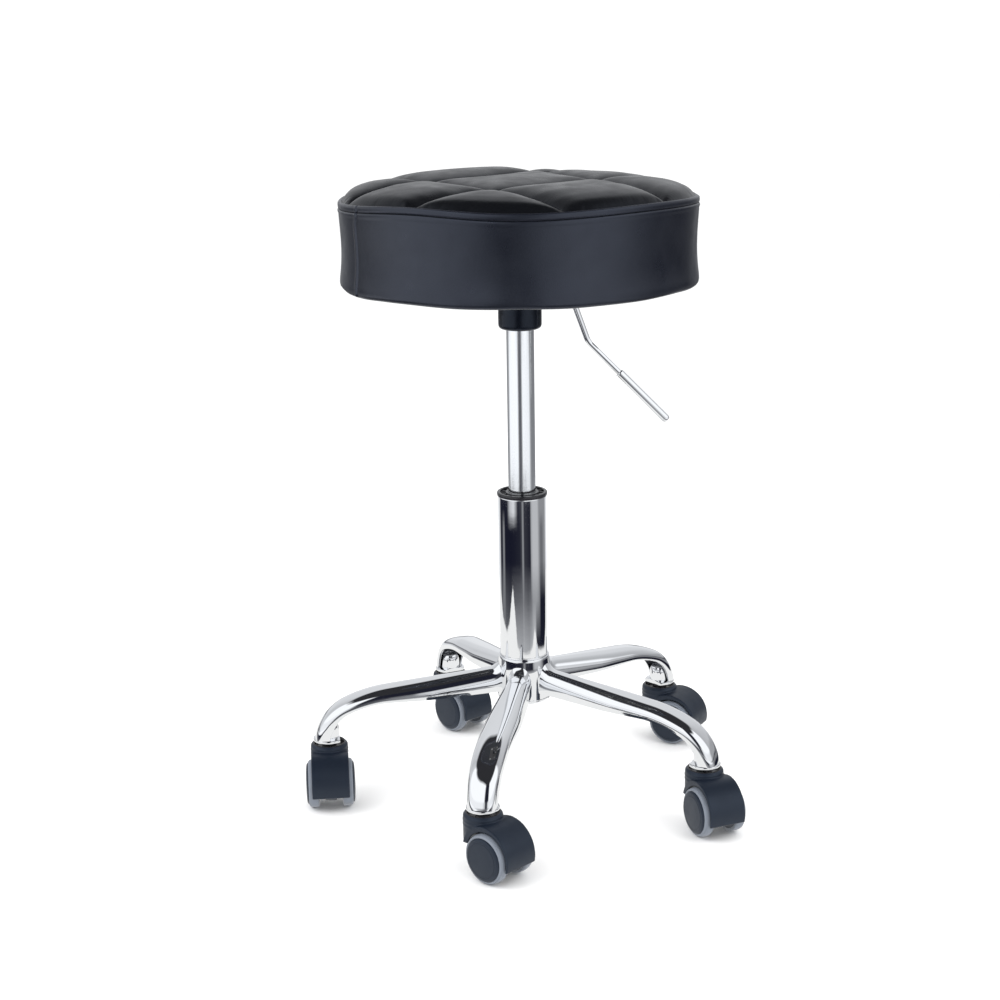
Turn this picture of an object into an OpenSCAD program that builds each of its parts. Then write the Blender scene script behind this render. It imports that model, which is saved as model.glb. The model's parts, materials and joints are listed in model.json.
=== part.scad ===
// Rolling stylist stool: a padded round seat on a gas spring, a lift lever, a chromed five-leg
// base and five twin-wheel hooded casters. Millimetres, +Z up. The origin is on the floor, on
// the column's axis. The seat is drawn at the top of its travel.

/* [Base] */
// Distance from the column's axis to each caster's swivel axis
base_r = 208; // [200:1:216]
// Direction of the first leg, in degrees anticlockwise from +X
first_leg_angle = -29.5; // [-72:0.5:72]
// Height of the hub's lower edge
hub_bottom = 103; // [100:1:104]
// Height of the hub's upper edge
hub_top = 150; // [148:1:156]
// Outside diameter of the hub
hub_d = 56; // [55:0.5:58]
// Thickness of the pressed steel of a leg
leg_wall = 2.2; // [1.8:0.1:2.6]

/* [Column] */
// Outside diameter of the outer tube
tube_d = 50; // [49.5:0.5:50]
// Height of the outer tube's upper edge
tube_top = 322.5; // [310:0.5:330]
// Diameter of the gas spring's cylinder
cylinder_d = 28; // [28:0.5:28]
// Height the seat can come down from the drawn position
stroke = 150; // [100:5:150]

/* [Seat] */
// Radius of the seat at its top seam
seat_r = 177; // [165:1:190]
// Height of the cover's lower edge
seat_bottom = 544; // [540:1:548]
// Height of the side band
band_h = 83; // [70:1:90]
// Height of the crown above the top seam
crown_h = 23; // [16:1:28]

/* [Lever] */
// Reach of the lever's tip from the column's axis
lever_reach = 146; // [140:1:156]
// Height of the lever's tip below the cover's lower edge
lever_drop = 142; // [120:1:150]
// Diameter of the lever's rod
lever_d = 6; // [5.8:0.1:6.2]

/* [Casters] */
// Diameter of a wheel
wheel_d = 50; // [49:0.5:50]
// Distance from the swivel axis back to the wheels' axle
trail = 22; // [21:0.5:23]
// Width over a pair of wheels
caster_w = 51.4; // [51:0.1:52]

/* [Hidden] */
$fn = 64;
legs = 5;
leg_step = 360 / legs;
running = 0.05;        // radial clearance of a piece that turns or slides
slip = 0.02;           // radial clearance of a piece that is pushed in and stays

// Leg: a line out from the hub, a long sweep, then a tight knee down to the caster
leg_slope = 7.4;
leg_mid_slope = 25;
leg_end_slope = 80;
sweep_r = 151;
knee_r = 55.5;
knee_center = [base_r - 40, 58];
leg_root_r = 27;
weld_gap = 0.25;
leg_depths = [[0, 26], [100, 18.5], [150, 13], [190, 12], [214, 13.5], [224, 15.5]];
leg_widths = [[0, 24], [30, 26], [110, 35], [185, 33.5], [214, 31], [224, 29.5]];
arch_steps = 8;
arch_power = 0.72;

// Caster socket, stem and grip ring
foot_bottom = 64.5;
foot_top = 67.5;
foot_r = 16.5;
socket_r = 11;
socket_drop = 4.2;
stem_bore_r = 5.55;
grip_bottom = 70;
grip_top = 78;
stem_top = 83;

// Caster, drawn with its swivel axis on the origin and its wheels trailing along +X
axle_z = wheel_d / 2;
axle_r = 3;
axle_half = 24;
web_half = 6;
fork_half = 19.5;
collar_r = 19.5;
collar_top = 62;
collar_bevel_z = 59.3;
recess_r = 16.2;
recess_z = 58;
pivot_r = 4;
pivot_bottom = 40;
pocket_r = wheel_d / 2 + 1.3;
fender_r = 30.5;
fender_center = [trail - 1.5, axle_z + 1];
fender_front_cut = 33;
fender_back_cut = 18;
web_r = 19;
wheel_in = web_half + 0.6;
core_r = 21.6;
rim_out = caster_w / 2 - 2.4;
caster_headings = [-67, -28, -48, -84, -44];

// Column, from the bottom up
end_plate_bottom = hub_bottom - 2;
end_plate_top = end_plate_bottom + 3;
tube_wall = 1.5;
rod_neck_r = 4;
rod_r = 5;
race_h = 2;
ball_d = 3;
ball_count = 12;
ball_circle_r = 8.5;
race_in_r = 4.4;
race_out_r = 12;
lower_race_z = end_plate_top;
ball_z = lower_race_z + race_h + ball_d / 2 + slip;
upper_race_z = lower_race_z + race_h + ball_d + 2 * slip;
bumper_bottom = upper_race_z + race_h;
bumper_h = 7;
cylinder_bottom = bumper_bottom + bumper_h + stroke + 3;
piston_bottom = cylinder_bottom + 24;
piston_h = 8;
cylinder_r = cylinder_d / 2;
cylinder_wall = 2;
bush_bottom = tube_top - 70;
bush_flange_h = 4;

// Seat mechanism, measured down from the cover's lower edge
plate_h = 2.5;
plate_top = seat_bottom + 0.4;
plate_bottom = plate_top - plate_h;
plate_w = 150;
bolt_pitch = 110;
socket_bottom = seat_bottom - 47;
socket_out_r = 19;
taper_top = seat_bottom - 20.5;
taper_shrink = 0.8;
boot_bottom = socket_bottom - 1.5;
boot_top = taper_top + 0.5;
boot_r = 22;
lever_z = seat_bottom - 11;
lever_r = lever_d / 2;
pivot_x = 30;
eye_r = 5.5;
eye_half = 2.6;
ear_in = 3.4;
ear_out = 5.9;
pin_r = 2;
lever_path = [[-5, lever_z], [50, lever_z], [68.5, seat_bottom - 63],
              [lever_reach, seat_bottom - lever_drop]];
lever_bends = [0, 9, 20, 0];
rod_sides = 20;
bend_steps = 6;
sleeve_r = 4.4;
sleeve_len = 70;
button_r = 2.5;
button_top = lever_z - lever_r - 0.4;
button_len = 22;

// Seat pad
band_top = seat_bottom + band_h;
seat_top = band_top + crown_h;
cover_t = 1.4;
plateau_r = 60;
rim_rise = 3;
board_bottom = seat_bottom + 1;
board_h = 12;
board_top = board_bottom + board_h;
board_r = seat_r - 7;
nut_r = 4;
nut_flange_r = 9.5;
nut_flange_h = 1.5;
bolt_r = 3;

caster_pieces = ["hood", "axle", "left_core", "left_tread", "right_core", "right_tread"];

// ---- helpers ----

module ring(out_r, in_r, bottom, top) {
    difference() {
        translate([0, 0, bottom]) cylinder(r = out_r, h = top - bottom);
        translate([0, 0, bottom - 1]) cylinder(r = in_r, h = top - bottom + 2);
    }
}

// Turns its children into place on each leg, with +X pointing out along the leg
module each_leg() {
    for (i = [0:legs - 1]) rotate([0, 0, first_leg_angle + i * leg_step]) children();
}

module at_each_caster() {
    each_leg() translate([base_r, 0, 0]) children();
}

// Puts one caster's piece under leg i, on its own heading
module at_caster(i) {
    angle = first_leg_angle + i * leg_step;
    translate([base_r * cos(angle), base_r * sin(angle), 0])
        rotate([0, 0, caster_headings[i]]) children();
}

// A solid turned about the local Y axis, from an outline of [radius, position along Y] points
module turned_on_axle(side, outline) {
    translate([trail, 0, axle_z]) rotate([side > 0 ? -90 : 90, 0, 0])
        rotate_extrude() polygon(outline);
}

// A cylinder along Y, from -half to +half
module cross_cylinder(x, z, r, half) {
    translate([x, half, z]) rotate([90, 0, 0]) cylinder(r = r, h = 2 * half);
}

// ---- base ----

module hub() {
    shoulder = hub_top - 11;
    lip_r = tube_d / 2 + 1.6;
    bore_r = tube_d / 2 + slip;
    color("silver") rotate_extrude() polygon([
        [bore_r, hub_bottom], [hub_d / 2 - 1, hub_bottom], [hub_d / 2, hub_bottom + 1],
        [hub_d / 2, shoulder], [lip_r, hub_top], [bore_r, hub_top]]);
}

function on_arc(center, r, slope) = center + r * [sin(slope), cos(slope)];

knee_start = on_arc(knee_center, knee_r, leg_mid_slope);
sweep_center = knee_start - sweep_r * [sin(leg_mid_slope), cos(leg_mid_slope)];
sweep_start = on_arc(sweep_center, sweep_r, leg_slope);
root_z = sweep_start[1] + (sweep_start[0] - leg_root_r) * tan(leg_slope);

// Stations down the leg's top line: [distance from the column, height, slope of the section]
line_stations = [for (f = [0, 0.33, 0.66])
    concat([leg_root_r, root_z] * (1 - f) + sweep_start * f, [leg_slope])];
sweep_stations = [for (f = [0, 0.5])
    let (slope = leg_slope + (leg_mid_slope - leg_slope) * f)
    concat(on_arc(sweep_center, sweep_r, slope), [slope])];
knee_stations = [for (f = [0:0.2:0.81])
    let (slope = leg_mid_slope + (leg_end_slope - leg_mid_slope) * f)
    concat(on_arc(knee_center, knee_r, slope), [slope])];
tip_station = [concat(on_arc(knee_center, knee_r, leg_end_slope), [90])];
stations = concat(line_stations, sweep_stations, knee_stations, tip_station);

// Half-round arch of a section, from one lower edge over the top to the other
function arch(width, depth, drop) = [for (i = [0:arch_steps])
    let (a = 180 * i / arch_steps, c = cos(a))
    [width / 2 * sign(c) * pow(abs(c), arch_power),
     -drop - (depth - drop) * (1 - pow(max(0, sin(a)), arch_power))]];

// The section's closed outline: the outer arch, then the inner arch back again
function section(r) =
    let (w = lookup(r, leg_widths), d = lookup(r, leg_depths),
         inner = arch(w - 2 * leg_wall, d, leg_wall))
    concat(arch(w, d, 0), [for (i = [arch_steps:-1:0]) inner[i]]);

function place(p, s) = [s[0] + p[1] * sin(s[2]), p[0], s[1] + p[1] * cos(s[2])];

// A root point, moved out along the leg until it stands on the hub
function on_hub(p) = [sqrt(pow(hub_d / 2 + weld_gap, 2) - p[1] * p[1]), p[1], p[2]];

// Faces between neighbours in a row of closed rings, each of n points
function sides(n, count) = [for (k = [0:count - 2], i = [0:n - 1])
    let (j = (i + 1) % n, a = k * n, b = a + n)
    each [[a + i, b + j, a + j], [a + i, b + i, b + j]]];

// Faces across the end of an arch-shaped ring, from its outer arch to its inner one
function arch_end(n, first, flip) = [for (i = [0:n / 2 - 2])
    let (a = first + i, b = first + n - 1 - i)
    each flip ? [[a, a + 1, b - 1], [a, b - 1, b]] : [[a, b - 1, a + 1], [a, b, b - 1]]];

module leg() {
    n = 2 * (arch_steps + 1);
    count = len(stations);
    root = [for (p = section(stations[0][0])) on_hub(place(p, stations[0]))];
    rest = [for (k = [1:count - 1], p = section(stations[k][0])) place(p, stations[k])];
    polyhedron(concat(root, rest),
               concat(sides(n, count), arch_end(n, 0, true), arch_end(n, (count - 1) * n, false)),
               convexity = 6);
}

module legs() {
    color("silver") each_leg() leg();
}

// A foot plate and a tube welded inside a leg's tip; the tube's top follows the knee
module caster_sockets() {
    color("silver") each_leg() difference() {
        intersection() {
            translate([base_r, 0, 0]) union() {
                translate([0, 0, foot_bottom]) cylinder(r = foot_r, h = foot_top - foot_bottom);
                translate([0, 0, foot_bottom]) cylinder(r = socket_r, h = 40);
            }
            cross_cylinder(knee_center[0], knee_center[1], knee_r - leg_wall - socket_drop, 30);
            translate([base_r - socket_r, -30, 0]) cube([60, 60, 200]);
        }
        translate([base_r, 0, 0]) cylinder(r = stem_bore_r, h = 200);
    }
}

module caster_stems() {
    head_r = stem_bore_r - slip;
    neck_r = head_r - 0.9;
    color("gainsboro") at_each_caster() rotate_extrude() polygon([
        [0, pivot_bottom], [pivot_r - 1, pivot_bottom], [pivot_r, pivot_bottom + 1],
        [pivot_r, recess_z + running], [8, recess_z + running], [8, foot_bottom],
        [head_r, foot_bottom], [head_r, grip_bottom], [neck_r, grip_bottom],
        [neck_r, grip_top], [head_r, grip_top], [head_r, stem_top - 1.5],
        [head_r - 1.5, stem_top], [0, stem_top]]);
}

module grip_rings() {
    color("dimgray") at_each_caster() difference() {
        ring(stem_bore_r, stem_bore_r - 0.8, grip_bottom + 0.1, grip_top - 0.1);
        translate([-8, -0.6, grip_bottom - 1]) cube([8, 1.2, grip_top - grip_bottom + 2]);
    }
}

// ---- column ----

module outer_tube() {
    r = tube_d / 2;
    color("silver") difference() {
        translate([0, 0, end_plate_bottom]) cylinder(r = r, h = tube_top - end_plate_bottom);
        translate([0, 0, end_plate_top]) cylinder(r = r - tube_wall, h = tube_top);
        translate([0, 0, end_plate_bottom - 1]) cylinder(r = rod_neck_r + running, h = 10);
    }
}

module guide_bush() {
    in_r = cylinder_r + running;
    body_r = tube_d / 2 - tube_wall - slip;
    flange_r = tube_d / 2 + 0.8;
    flange_top = tube_top + bush_flange_h;
    color("black") rotate_extrude() polygon([
        [in_r, bush_bottom], [body_r, bush_bottom], [body_r, tube_top], [flange_r, tube_top],
        [flange_r, flange_top - 1.5], [flange_r - 1.5, flange_top], [in_r + 2, flange_top],
        [in_r, flange_top - 1.5]]);
}

module race(bottom, in_r) {
    color("lightgray") ring(race_out_r, in_r, bottom, bottom + race_h);
}

module bearing_balls() {
    color("white") for (i = [0:ball_count - 1]) rotate([0, 0, i * 360 / ball_count])
        translate([ball_circle_r, 0, ball_z]) sphere(d = ball_d);
}

module bumper() {
    color("dimgray") ring(11, rod_r + slip, bumper_bottom, bumper_bottom + bumper_h);
}

module rod_clip() {
    clip_top = end_plate_bottom - 0.6;
    color("gray") ring(7, rod_neck_r - 0.5 + slip, clip_top - 1.5, clip_top);
}

module piston_rod() {
    clip_top = end_plate_bottom - 0.6;
    neck_in = rod_neck_r - 0.5;
    rod_end = clip_top - 4.5;
    color("white") rotate_extrude() polygon([
        [0, rod_end], [rod_neck_r, rod_end], [rod_neck_r, clip_top - 1.5 - slip],
        [neck_in, clip_top - 1.5 - slip], [neck_in, clip_top + slip],
        [rod_neck_r, clip_top + slip], [rod_neck_r, bumper_bottom], [rod_r, bumper_bottom],
        [rod_r, piston_bottom], [rod_neck_r, piston_bottom],
        [rod_neck_r, piston_bottom + piston_h], [0, piston_bottom + piston_h]]);
}

module piston() {
    bore = cylinder_r - cylinder_wall;
    color("goldenrod") rotate_extrude() polygon([
        [rod_neck_r + slip, piston_bottom], [bore - running, piston_bottom],
        [bore - running, piston_bottom + 2.5], [bore - 1.5, piston_bottom + 3],
        [bore - 1.5, piston_bottom + 5], [bore - running, piston_bottom + 5.5],
        [bore - running, piston_bottom + piston_h],
        [rod_neck_r + slip, piston_bottom + piston_h]]);
}

module gas_cylinder() {
    bore = cylinder_r - cylinder_wall;
    plug_bottom = taper_top - 18;
    pin_bore = button_r + running;
    color("lightgray") rotate_extrude() polygon([
        [rod_r + 2, cylinder_bottom], [cylinder_r - 0.8, cylinder_bottom],
        [cylinder_r, cylinder_bottom + 0.8], [cylinder_r, socket_bottom],
        [cylinder_r - taper_shrink, taper_top], [pin_bore, taper_top],
        [pin_bore, plug_bottom], [bore, plug_bottom], [bore, cylinder_bottom + 2],
        [rod_r + 2, cylinder_bottom + 2]]);
}

module rod_seal() {
    bore = cylinder_r - cylinder_wall;
    color("black") ring(bore - slip, rod_r + running, cylinder_bottom + 2, cylinder_bottom + 16);
}

module release_button() {
    color("red") rotate_extrude() polygon([
        [0, button_top - button_len], [button_r, button_top - button_len],
        [button_r, button_top - 0.6], [button_r - 0.6, button_top], [0, button_top]]);
}

// ---- seat mechanism ----

module taper_socket() {
    fit = slip;
    slot_h = 30;
    color("dimgray") difference() {
        rotate_extrude() polygon([
            [cylinder_r + fit, socket_bottom], [socket_out_r, socket_bottom],
            [socket_out_r, plate_bottom], [cylinder_r + fit, plate_bottom],
            [cylinder_r + fit, taper_top + 2], [cylinder_r - taper_shrink + fit, taper_top]]);
        translate([0, -ear_in, lever_z - lever_r - 4]) cube([40, 2 * ear_in, slot_h]);
    }
}

module mounting_plate() {
    corner = 14;
    side = plate_w / 2 - corner;
    ear_bottom = lever_z - 7;
    color("dimgray") difference() {
        union() {
            translate([0, 0, plate_bottom]) linear_extrude(plate_h) union() {
                square([plate_w, plate_w - 2 * corner], center = true);
                square([plate_w - 2 * corner, plate_w], center = true);
                for (x = [-side, side], y = [-side, side]) translate([x, y]) circle(r = corner);
            }
            for (y = [-ear_out, ear_in]) translate([pivot_x - 7, y, ear_bottom])
                cube([14, ear_out - ear_in, plate_bottom - ear_bottom + 1]);
        }
        at_each_bolt() cylinder(r = bolt_r + 0.3, h = 2 * seat_top);
        cross_cylinder(pivot_x, lever_z, pin_r + slip, 20);
    }
}

module socket_boot() {
    in_r = socket_out_r + slip;
    lip_r = cylinder_r + 1;
    soft = 5;
    color("black") rotate_extrude() polygon(concat(
        [[lip_r, boot_bottom], [boot_r - soft, boot_bottom]],
        [for (a = [-67.5:22.5:0]) [boot_r - soft + soft * cos(a), boot_bottom + soft + soft * sin(a)]],
        [[boot_r, boot_top - 1], [boot_r - 1, boot_top], [in_r, boot_top],
         [in_r, socket_bottom - slip], [lip_r, socket_bottom - slip]]));
}

module lever_pin() {
    color("silver") union() {
        cross_cylinder(pivot_x, lever_z, pin_r, ear_out + 1.5);
        translate([pivot_x, ear_out + 1.5, lever_z]) rotate([90, 0, 0]) cylinder(r = 3.2, h = 1.4);
        translate([pivot_x, -ear_out - 0.1, lever_z]) rotate([90, 0, 0]) cylinder(r = 3.2, h = 1.4);
    }
}

function heading(path, i) = let (d = path[i + 1] - path[i]) atan2(d[1], d[0]);
function turn(path, i) = heading(path, i) - heading(path, i - 1);
function setback(path, bends, i) =
    i == 0 || i == len(path) - 1 ? 0 : bends[i] * tan(abs(turn(path, i)) / 2);

// Points round the bend at corner i of a path, each with the rod's heading there
function bend(path, bends, i) =
    let (sweep = turn(path, i), side = sign(sweep), before = heading(path, i - 1),
         start = path[i] - [cos(before), sin(before)] * setback(path, bends, i),
         center = start + side * bends[i] * [-sin(before), cos(before)])
    [for (f = [0:1 / bend_steps:1.001])
        let (h = before + sweep * f)
        concat(center + side * bends[i] * [sin(h), -cos(h)], [h])];

function rod_line(path, bends) =
    let (last = len(path) - 1)
    concat([concat(path[0], [heading(path, 0)])],
           [for (i = [1:last - 1], p = bend(path, bends, i)) p],
           [concat(path[last], [heading(path, last - 1)])]);

// A round rod in the XZ plane along a path, with a bend of its own radius at each corner
module bent_rod(path, bends, r) {
    line = rod_line(path, bends);
    n = rod_sides;
    last = (len(line) - 1) * n;
    points = [for (p = line, i = [0:n - 1])
        let (a = -360 * i / n)
        [p[0] - r * cos(a) * sin(p[2]), r * sin(a), p[1] + r * cos(a) * cos(p[2])]];
    ends = [[for (i = [0:n - 1]) i], [for (i = [n - 1:-1:0]) last + i]];
    polyhedron(points, concat(ends, sides(n, len(line))), convexity = 4);
}

module lever_rod() {
    color("silver") difference() {
        union() {
            bent_rod(lever_path, lever_bends, lever_r);
            cross_cylinder(pivot_x, lever_z, eye_r, eye_half);
        }
        cross_cylinder(pivot_x, lever_z, pin_r + running, 10);
    }
}

// A thicker sleeve pushed over the end of the rod, with a closed rounded tip
module lever_sleeve() {
    tip = lever_path[3];
    cap = 4;
    color("silver") translate([tip[0], 0, tip[1]])
        rotate([0, 90 - heading(lever_path, 2), 0]) translate([0, 0, cap - sleeve_len])
            rotate_extrude() polygon([
                [lever_r + slip, 0], [sleeve_r - 0.6, 0], [sleeve_r, 1.2],
                [sleeve_r, sleeve_len - 2.2], [sleeve_r - 0.7, sleeve_len - 0.8],
                [sleeve_r - 2, sleeve_len], [0, sleeve_len], [0, sleeve_len - cap + slip],
                [lever_r + slip, sleeve_len - cap + slip]]);
}

module at_each_bolt() {
    for (x = [-bolt_pitch / 2, bolt_pitch / 2], y = [-bolt_pitch / 2, bolt_pitch / 2])
        translate([x, y, 0]) children();
}

module plate_bolts() {
    head_h = 4;
    color("lightgray") at_each_bolt() union() {
        translate([0, 0, plate_bottom - head_h]) cylinder(r = 6.5, h = head_h, $fn = 6);
        translate([0, 0, plate_bottom - 1]) cylinder(r = bolt_r, h = board_h + plate_h + 1);
    }
}

module tee_nuts() {
    color("gray") at_each_bolt() difference() {
        union() {
            translate([0, 0, board_bottom + 1]) cylinder(r = nut_r, h = board_h - 1.5);
            translate([0, 0, board_top - nut_flange_h - 0.2])
                cylinder(r = nut_flange_r, h = nut_flange_h);
        }
        cylinder(r = bolt_r + slip, h = 2 * seat_top);
    }
}

// ---- seat pad ----

module seat_board() {
    color("burlywood") difference() {
        translate([0, 0, board_bottom]) cylinder(r = board_r, h = board_h);
        at_each_bolt() cylinder(r = nut_r + slip, h = 2 * seat_top);
        at_each_bolt() translate([0, 0, board_top - nut_flange_h - 0.2])
            cylinder(r = nut_flange_r + 0.3, h = 10);
    }
}

// Height of the cover's outside above the top seam, flat in the middle
function crown(r) =
    let (f = max(0, r - plateau_r) / (seat_r - plateau_r))
    seat_top - (crown_h - rim_rise) * pow(f, 2.2);

crown_radii = [for (f = [1:-0.125:0]) plateau_r + (seat_r - plateau_r) * f];

module foam_pad() {
    gap = cover_t + 0.8;
    color("khaki") rotate_extrude() polygon(concat(
        [[0, board_top + 0.1], [seat_r - 4, board_top + 0.1], [seat_r - 4, band_top - 2]],
        [for (r = crown_radii) if (r < seat_r - 6) [r, crown(r) - gap]],
        [[0, seat_top - gap]]));
}

module dust_cover() {
    t = 0.6;
    fold_r = seat_r - 27;
    hole_r = bolt_r + 1;
    color("midnightblue") difference() {
        rotate_extrude() polygon([
            [0, seat_bottom + 0.4], [fold_r, seat_bottom + 0.4],
            [fold_r + 1, seat_bottom - t], [fold_r + 14, seat_bottom - t],
            [fold_r + 14, seat_bottom], [fold_r + 1.6, seat_bottom],
            [fold_r + 0.9, seat_bottom + 1], [0, seat_bottom + 1]]);
        at_each_bolt() cylinder(r = hole_r, h = 2 * seat_top);
    }
}

module cover_side_band() {
    in_r = seat_r - cover_t;
    fold_r = seat_r - 25;
    mid_z = seat_bottom + 0.62 * band_h;
    color([0.1, 0.1, 0.12]) rotate_extrude() polygon([
        [fold_r, seat_bottom], [seat_r + 0.4, seat_bottom], [seat_r + 1, seat_bottom + 3],
        [seat_r - 1, mid_z], [seat_r, band_top], [in_r, band_top], [in_r - 1, mid_z],
        [in_r, seat_bottom + 3], [in_r, seat_bottom + 1], [fold_r, seat_bottom + 1]]);
}

module cover_top_panel() {
    in_r = seat_r - cover_t;
    outside = [for (r = crown_radii) [r, crown(r)]];
    inside = [for (i = [len(crown_radii) - 1:-1:0])
        let (r = min(crown_radii[i], in_r)) [r, crown(r) - cover_t]];
    color([0.12, 0.12, 0.14]) rotate_extrude() polygon(concat(
        [[in_r, band_top], [seat_r, band_top]], outside,
        [[0, seat_top], [0, seat_top - cover_t]], inside));
}

// ---- casters ----

// The hood: a collar round the stem, a fender over both wheels and a web between them
module caster_hood() {
    color([0.15, 0.16, 0.19]) difference() {
        union() {
            rotate_extrude() polygon([
                [0, fender_front_cut], [collar_r, fender_front_cut], [collar_r, collar_bevel_z],
                [collar_r - 2.4, collar_top], [0, collar_top]]);
            intersection() {
                cross_cylinder(fender_center[0], fender_center[1], fender_r, fork_half);
                union() {
                    translate([-20, -30, fender_front_cut]) cube([80, 60, 60]);
                    translate([trail, -30, fender_back_cut]) cube([60, 60, 60]);
                }
            }
            cross_cylinder(trail, axle_z, web_r, web_half);
        }
        for (side = [-1, 1]) translate([trail, side * (web_half + 20), axle_z])
            rotate([90, 0, 0]) cylinder(r = pocket_r, h = 40, center = true);
        translate([0, 0, recess_z]) cylinder(r = recess_r, h = 20);
        translate([0, 0, pivot_bottom - 1]) cylinder(r = pivot_r + running, h = 40);
        cross_cylinder(trail, axle_z, axle_r + slip, 30);
    }
}

module caster_axle() {
    color("silver") cross_cylinder(trail, axle_z, axle_r, axle_half);
}

module wheel_core(side) {
    face = caster_w / 2;
    bore = axle_r + running;
    color([0.17, 0.18, 0.21]) turned_on_axle(side, [
        [bore, wheel_in], [7, wheel_in], [7, 13], [18, 13], [18, wheel_in + 1],
        [core_r, wheel_in + 1], [core_r, rim_out], [core_r - 1, face - 1.2],
        [core_r - 4, face - 0.4], [0, face], [0, axle_half + 0.3], [bore, axle_half + 0.3]]);
}

module wheel_tread(side) {
    r = wheel_d / 2;
    color([0.5, 0.52, 0.57]) turned_on_axle(side, [
        [core_r, wheel_in + 0.4], [r - 0.8, wheel_in + 0.4], [r, wheel_in + 1.2],
        [r, rim_out - 4.5], [r - 0.5, rim_out - 2.6], [r - 1.6, rim_out - 0.9],
        [r - 3, rim_out - 0.2], [core_r, rim_out]]);
}

// ---- assembly ----

hub();
legs();
caster_sockets();
caster_stems();
grip_rings();
outer_tube();
guide_bush();
race(lower_race_z, race_in_r);  // lower_race
bearing_balls();
race(upper_race_z, rod_neck_r + slip);  // upper_race
bumper();
rod_clip();
piston_rod();
piston();
gas_cylinder();
rod_seal();
release_button();
taper_socket();
mounting_plate();
socket_boot();
lever_pin();
lever_rod();
lever_sleeve();
plate_bolts();
tee_nuts();
seat_board();
foam_pad();
dust_cover();
cover_side_band();
cover_top_panel();
for (i = [1:legs]) {
    name = str("caster_", i, "_");
    at_caster(i - 1) caster_hood();
    at_caster(i - 1) caster_axle();
    at_caster(i - 1) wheel_core(1);
    at_caster(i - 1) wheel_tread(1);
    at_caster(i - 1) wheel_core(-1);
    at_caster(i - 1) wheel_tread(-1);
}
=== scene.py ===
"""Looks of a rolling stylist stool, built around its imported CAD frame.

Shapes are worked out in millimetres and turned into metres when a piece is made.
"""

import json
import math

import bmesh
import bpy
import numpy as np
from mathutils import Matrix, Vector
from mathutils.geometry import delaunay_2d_cdt


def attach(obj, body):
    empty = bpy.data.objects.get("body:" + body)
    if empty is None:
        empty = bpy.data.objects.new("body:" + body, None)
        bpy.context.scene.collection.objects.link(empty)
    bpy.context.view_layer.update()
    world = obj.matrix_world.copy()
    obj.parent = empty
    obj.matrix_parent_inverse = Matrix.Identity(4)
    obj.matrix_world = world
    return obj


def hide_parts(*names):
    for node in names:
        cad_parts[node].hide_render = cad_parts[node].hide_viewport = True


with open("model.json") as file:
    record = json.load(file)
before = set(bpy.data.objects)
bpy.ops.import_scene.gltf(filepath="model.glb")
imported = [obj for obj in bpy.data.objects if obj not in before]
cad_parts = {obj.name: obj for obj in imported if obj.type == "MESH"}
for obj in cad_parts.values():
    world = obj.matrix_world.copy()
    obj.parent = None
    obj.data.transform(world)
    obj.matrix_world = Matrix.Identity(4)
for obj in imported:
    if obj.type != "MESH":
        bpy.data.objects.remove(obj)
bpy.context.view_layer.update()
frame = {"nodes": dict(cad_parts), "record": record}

MM = 0.001
TAU = 2 * math.pi
random = np.random.default_rng(7)

# Sizes that the CAD part has too, in millimetres
LEG_ANGLES = [-29.5 + 72 * i for i in range(5)]
CASTER_HEADINGS = [-67, -28, -48, -84, -44]
BASE_R = 208
HUB_BOTTOM = 103
HUB_TOP = 150
HUB_R = 28
TUBE_R = 25
TUBE_TOP = 322.5
SEAT_R = 177
TRAIL = 22
AXLE_Z = 25


# ---------------------------------------------------------------- shapes

def rounded(corners, steps=5):
    """A closed outline from (radius, height, fillet) corners, with each fillet drawn as a short curve."""
    points = []
    count = len(corners)
    for i, (x, y, fillet) in enumerate(corners):
        here = np.array((x, y), float)
        if not fillet:
            points.append(here)
            continue
        before = np.array(corners[i - 1][:2], float) - here
        after = np.array(corners[(i + 1) % count][:2], float) - here
        start = here + before / np.linalg.norm(before) * fillet
        end = here + after / np.linalg.norm(after) * fillet
        for t in np.linspace(0, 1, steps + 1):
            points.append((1 - t) ** 2 * start + 2 * t * (1 - t) * here + t * t * end)
    return points


def braced(outline, near=0.7):
    """The outline with extra points close to both ends of its long sides, so that they shade straight."""
    points = []
    for i, here in enumerate(outline):
        here = np.array(here, float)
        side = np.array(outline[(i + 1) % len(outline)], float) - here
        length = np.linalg.norm(side)
        points.append(here)
        if length > 4 * near:
            points.append(here + side * near / length)
            points.append(here + side * (1 - near / length))
    return points


def lathe(outline, segments=144):
    """Points and faces of a closed (radius, height) outline turned about Z."""
    outline = braced(outline)
    count = len(outline)
    verts = [(r * math.cos(a), r * math.sin(a), z)
             for a in np.linspace(0, TAU, segments, endpoint=False) for r, z in outline]
    return verts, ring_faces(segments, count, True, True)


def ring_faces(rows, count, close_rows, close_ring):
    """Faces of a grid of points: `rows` rows with `count` points in each."""
    faces = []
    for k in range(rows if close_rows else rows - 1):
        for i in range(count if close_ring else count - 1):
            a, b = k * count, (k + 1) % rows * count
            j = (i + 1) % count
            faces.append((a + i, b + i, b + j, a + j))
    return faces


def sweep(path, radius, sides=32):
    """A round rod along a path of 3-D points, with flat ends."""
    path = np.array(path, float)
    along = np.gradient(path, axis=0)
    along /= np.linalg.norm(along, axis=1)[:, None]
    side = np.array((0.0, 1.0, 0.0))
    verts = []
    for p, d in zip(path, along):
        up = np.cross(d, side)
        for a in np.linspace(0, TAU, sides, endpoint=False):
            verts.append(p + radius * (math.cos(a) * up + math.sin(a) * side))
    faces = ring_faces(len(path), sides, False, True)
    last = (len(path) - 1) * sides
    faces.append(tuple(range(sides - 1, -1, -1)))
    faces.append(tuple(range(last, last + sides)))
    return verts, faces


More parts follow.
